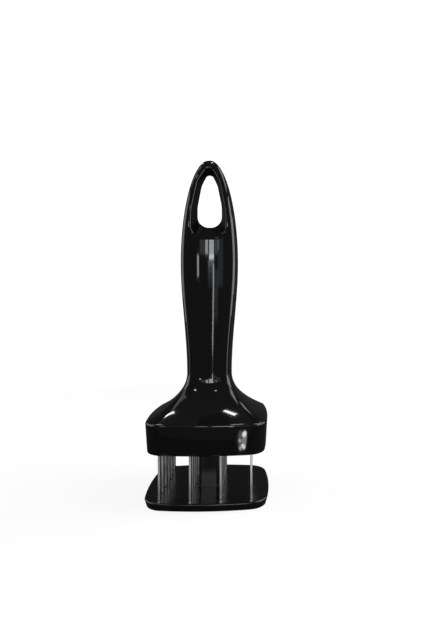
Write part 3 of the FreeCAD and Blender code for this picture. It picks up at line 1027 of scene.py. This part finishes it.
cool_glass = (0.82, 0.95, 1.0)
cool_sky = (0.65, 0.85, 1.0)
lamps = [
    lamp("line_lamp", 6.8, -1.5, 0.9, 0.036, 0.26, 6.5),
    lamp("window_right_pane", 2.6, 13.6, 1.0, 0.17, 0.22, 8.0, grip, colour=cool_glass),
    lamp("window_left_pane", -7.6, 13.6, 1.0, 0.10, 0.22, 6.0, grip),
    lamp("window_sill", 2.6, 6.6, 1.0, 0.17, 0.024, 13.0, grip),
    lamp("side_line_lamp", -25.7, 3.8, 0.8, 0.05, 0.09, 6.0, grip),
    lamp("faint_line_lamp", 16.6, 14.0, 1.0, 0.035, 0.19, 2.0, grip),
    lamp("right_lamp", 85.0, 8.0, 0.8, 0.70, 0.8, 3.4),
    lamp("left_lamp", -87.0, 8.0, 0.8, 0.70, 0.8, 2.0),
    lamp("sheen_beside_window", 12.0, 13.6, 1.0, 0.12, 0.22, 0.9, grip, colour=cool_sky),
    lamp("sheen_far_right", 21.0, 8.0, 1.0, 0.20, 0.35, 0.4, grip, colour=cool_sky),
    lamp("sheen_below", 13.0, -3.0, 1.0, 0.15, 0.20, 0.4, grip, colour=cool_sky),
    lamp("sheen_left", -17.0, 13.0, 1.0, 0.18, 0.20, 0.6, grip),
    lamp("right_kicker", 122.0, 8.0, 0.7, 0.16, 0.30, 4.0, grip),
    lamp("left_kicker", -122.0, 8.0, 0.7, 0.16, 0.30, 1.8, grip),
    lamp("right_top_lamp", 97.0, 52.0, 0.9, 0.45, 0.45, 3.0),
    lamp("left_top_lamp", -97.0, 52.0, 0.9, 0.45, 0.45, 1.0),
    lamp("right_back_lamp", 153.0, 32.5, 0.9, 0.10, 0.50, 2.2, bell, 32.0),
    lamp("left_tube", -132.1, 63.4, 1.0, 0.026, 0.22, 24.0, spot(-18.0, -22.0, 49.0), -20.6),
    lamp("right_tube", 161.5, 81.0, 1.0, 0.026, 0.14, 24.0, spot(14.0, -22.0, 49.0)),
    lamp("left_spot", -37.8, 48.6, 1.0, 0.06, 0.06, 16.0, spot(-6.8, -13.0, 60.0)),
    lamp("right_spot", 11.0, 52.6, 1.0, 0.05, 0.05, 10.0, spot(4.8, -13.0, 60.0)),
]
print("lamps round the stage:", len(lamps))

# %% Fading glow under the window's sill
glow_steps = 4
glow_top = 4.9
glow_drop = 2.0
glow_strength = 1.6
glow_fade = 0.5
for step in range(glow_steps):
    lamp(f"sill_glow_{step + 1}", 1.0, glow_top - glow_drop * step, 1.0, 0.20, 0.035,
         glow_strength * glow_fade ** step, grip)
print("glow from", glow_top, "down to", glow_top - glow_drop * (glow_steps - 1), "degrees")

# %% Small lamps close to the tool
patch_distance = 60.0 * MM
patches = [
    # azimuth, elevation, width in mm, height in mm, strength, turn
    (9.6, -22.4, 5.0, 13.0, 1.2, 4.0),
    (13.4, -22.0, 4.2, 12.0, 3.2, -8.0),
    (13.0, -18.4, 4.4, 3.4, 12.0, 35.0),
    (12.2, -25.6, 4.6, 2.6, 9.0, -25.0),
    (9.2, -26.6, 2.4, 2.2, 5.0, 15.0),
    (8.8, -22.2, 2.6, 2.0, 6.0, -15.0),
]
for number, (azimuth, elevation, width, height, strength, turn) in enumerate(patches, 1):
    lamp(f"collar_patch_{number}", azimuth, elevation, patch_distance, width * MM, height * MM, strength,
         collar, turn, shape="ELLIPSE")

# A card stands where the line of sight, mirrored by a blade's edge, passes it. That is to the left of the
# blade, by a share (card_lean) of the way from the blade to the camera's side.
card_distance = 25.0 * MM
card_width = 6.0 * MM
card_height = 17.0 * MM
card_strength = 0.8
card_lean = 0.10
camera_side = 30.0 * MM
blade_front = node_box("blade_row1_col1")[0][1]
blade_left = sorted(float(node_box(f"blade_row1_col{column}")[0][0]) for column in range(1, 5))
for number, x in enumerate(blade_left, 1):
    x -= card_lean * (camera_side - x)
    lamp(f"blade_card_{number}", 0.0, 0.0, card_distance, card_width, card_height, card_strength,
         Vector((x, blade_front, card_height / 2)))
print("collar patches:", len(patches), "blade cards:", len(blade_left))

# %% [markdown]
# ## The room
#
# Whatever the sheet and the lamps leave open is the room, which the world's background stands for. The
# camera sees it white, like the far end of the sheet. To everything else it is a dark grey, so it fills the
# shadows a little and hardly shows in the gloss.

# %% The room around the stage
room_tone = 0.07
room_mirrored_share = 0.02
world = bpy.data.worlds.new("room")
bpy.context.scene.world = world
world.use_nodes = True
room = NodeWork(world.node_tree)
camera_ray, mirror_ray, glass_ray = room.rays()
seen = (camera_ray + room_mirrored_share * (mirror_ray + glass_ray)).clamp()
room.feed(room.tree.nodes["Background"].inputs["Color"], room.mix(seen, room_tone, 1.0))
print("the room's grey in light:", room_tone)

# %% [markdown]
# ## Camera
#
# The picture was taken close by, a little to the right of the tool and a little above half its height, and
# cropped off centre. So the camera stands level, turns slightly to the right and shifts its lens instead of
# tilting, which keeps uprights upright.

# %% Camera at the photograph's angle
picture_width = 421
picture_height = 631
focal_pixels = 456.0
principal_x = 268.1
principal_y = 308.45
camera_place = Vector((24.8, -265.0, 104.65)) * MM
camera_turn = math.radians(-1.95)

camera_data = bpy.data.cameras.new("camera")
camera_data.sensor_fit = "VERTICAL"
camera_data.sensor_height = 36.0
camera_data.lens = focal_pixels * camera_data.sensor_height / picture_height
camera_data.shift_x = (picture_width / 2 - principal_x) / picture_height
camera_data.shift_y = (principal_y - picture_height / 2) / picture_height
camera_data.clip_start = 0.01
camera = bpy.data.objects.new("camera", camera_data)
camera.location = camera_place
camera.rotation_euler = (math.pi / 2, 0.0, camera_turn)
bpy.context.scene.collection.objects.link(camera)
bpy.context.scene.camera = camera
bpy.context.scene.view_settings.view_transform = "Standard"
print("lens in mm:", round(camera_data.lens, 2))
